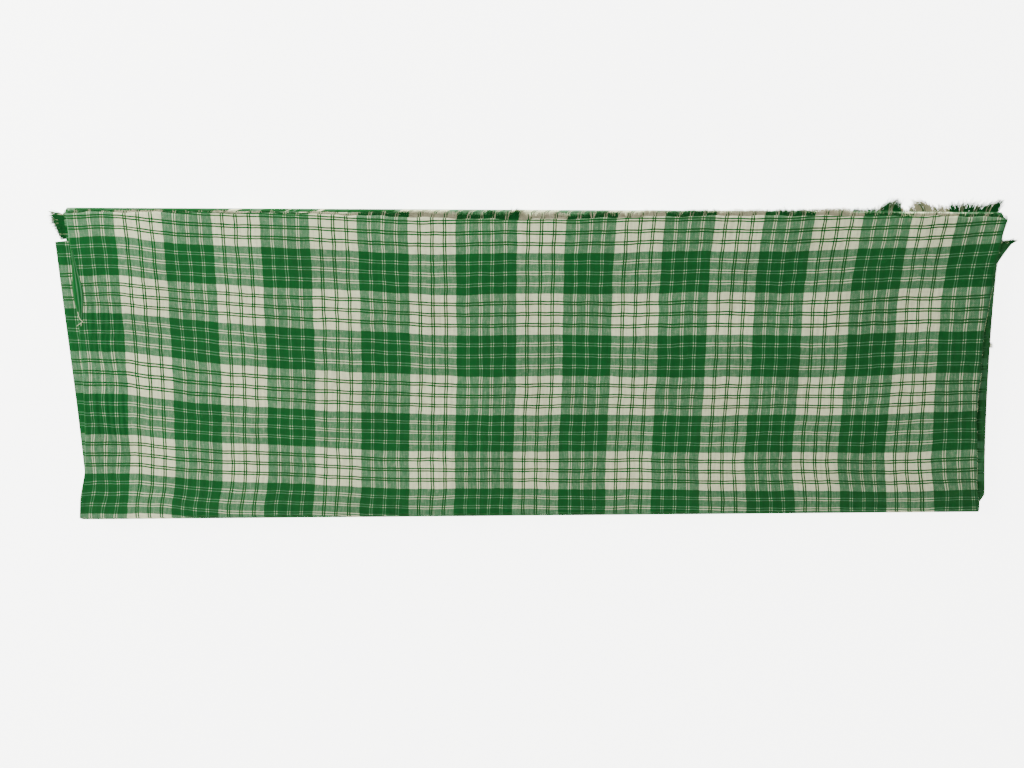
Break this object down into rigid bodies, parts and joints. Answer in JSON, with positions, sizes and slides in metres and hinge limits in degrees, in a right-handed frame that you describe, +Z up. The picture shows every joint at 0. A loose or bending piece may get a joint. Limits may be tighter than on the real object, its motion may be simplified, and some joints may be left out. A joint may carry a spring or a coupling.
{
  "type": "fabric bolt",
  "caption": "Length of checked woven cotton, doubled selvedge to selvedge and folded back and forth into a flat pile whose panels open at their folds.",
  "frame": {"origin": "bottom centre of the folded pile, on the surface that it lies on", "axes": "+X along the folds, from the side fold to the selvedges; +Y towards the raw ends; +Z up through the pile"},
  "size_m": [0.5778, 0.1968, 0.0134],
  "materials": {
    "checked_cloth": "plain woven cotton in green and cream checks with fine double lines, matt",
    "folded_cloth": "the same cloth where it turns over a fold, matt",
    "warp_fringe": "loose cotton warp ends in green and cream, fluffy",
    "weft_thread": "one loose cream cotton thread, matt"
  },
  "bodies": {
    "panel_1": {"panel_1_lower_ply": "checked_cloth", "panel_1_upper_ply": "checked_cloth", "panel_1_side_fold": "folded_cloth", "fold_1_inner_crease": "folded_cloth", "fold_1_outer_crease": "folded_cloth", "first_end_lower_fringe": "warp_fringe", "first_end_upper_fringe": "warp_fringe", "first_end_corner_tuft": "warp_fringe"},
    "panel_2": {"panel_2_lower_ply": "checked_cloth", "panel_2_upper_ply": "checked_cloth", "panel_2_side_fold": "folded_cloth", "fold_2_inner_crease": "folded_cloth", "fold_2_outer_crease": "folded_cloth"},
    "panel_3": {"panel_3_lower_ply": "checked_cloth", "panel_3_upper_ply": "checked_cloth", "panel_3_side_fold": "folded_cloth", "fold_3_inner_crease": "folded_cloth", "fold_3_outer_crease": "folded_cloth"},
    "panel_4": {"panel_4_lower_ply": "checked_cloth", "panel_4_upper_ply": "checked_cloth", "panel_4_side_fold": "folded_cloth", "fold_4_inner_crease": "folded_cloth", "fold_4_outer_crease": "folded_cloth"},
    "panel_5": {"panel_5_lower_ply": "checked_cloth", "panel_5_upper_ply": "checked_cloth", "panel_5_side_fold": "folded_cloth", "fold_5_inner_crease": "folded_cloth", "fold_5_outer_crease": "folded_cloth"},
    "panel_6": {"panel_6_lower_ply": "checked_cloth", "panel_6_upper_ply": "checked_cloth", "panel_6_side_fold": "folded_cloth", "fold_6_inner_crease": "folded_cloth", "fold_6_outer_crease": "folded_cloth"},
    "panel_7": {"panel_7_lower_ply": "checked_cloth", "panel_7_upper_ply": "checked_cloth", "panel_7_side_fold": "folded_cloth", "fold_7_inner_crease": "folded_cloth", "fold_7_outer_crease": "folded_cloth"},
    "panel_8": {"panel_8_lower_ply": "checked_cloth", "panel_8_upper_ply": "checked_cloth", "panel_8_side_fold": "folded_cloth", "last_end_lower_fringe": "warp_fringe", "last_end_upper_fringe": "warp_fringe", "panel_8_side_pleat": "folded_cloth", "loose_thread": "weft_thread"}
  },
  "joints": [
    {"name": "fold_1", "type": "hinge", "parent": "panel_1", "child": "panel_2", "pos_m": [0, -0.09287, 0.00145], "axis": [1, 0.009, 0], "range_deg": [0, 180], "deforming": ["fold_1_inner_crease", "fold_1_outer_crease"]},
    {"name": "fold_2", "type": "hinge", "parent": "panel_2", "child": "panel_3", "pos_m": [0, 0.09316, 0.00305], "axis": [-1, 0.005, 0], "range_deg": [0, 180], "deforming": ["fold_2_inner_crease", "fold_2_outer_crease", "first_end_lower_fringe", "first_end_upper_fringe"]},
    {"name": "fold_3", "type": "hinge", "parent": "panel_3", "child": "panel_4", "pos_m": [0, -0.09357, 0.00465], "axis": [1, 0.009, 0], "range_deg": [0, 180], "deforming": ["fold_3_inner_crease", "fold_3_outer_crease"]},
    {"name": "fold_4", "type": "hinge", "parent": "panel_4", "child": "panel_5", "pos_m": [0, 0.09376, 0.00625], "axis": [-1, 0.005, 0], "range_deg": [0, 180], "deforming": ["fold_4_inner_crease", "fold_4_outer_crease"]},
    {"name": "fold_5", "type": "hinge", "parent": "panel_5", "child": "panel_6", "pos_m": [0, -0.09407, 0.00785], "axis": [1, 0.009, 0], "range_deg": [0, 180], "deforming": ["fold_5_inner_crease", "fold_5_outer_crease"]},
    {"name": "fold_6", "type": "hinge", "parent": "panel_6", "child": "panel_7", "pos_m": [0, 0.09386, 0.00945], "axis": [-1, 0.005, 0], "range_deg": [0, 180], "deforming": ["fold_6_inner_crease", "fold_6_outer_crease", "last_end_lower_fringe", "last_end_upper_fringe"]},
    {"name": "fold_7", "type": "hinge", "parent": "panel_7", "child": "panel_8", "pos_m": [0, -0.09427, 0.01105], "axis": [1, 0.009, 0], "range_deg": [0, 180], "deforming": ["fold_7_inner_crease", "fold_7_outer_crease"]}
  ]
}
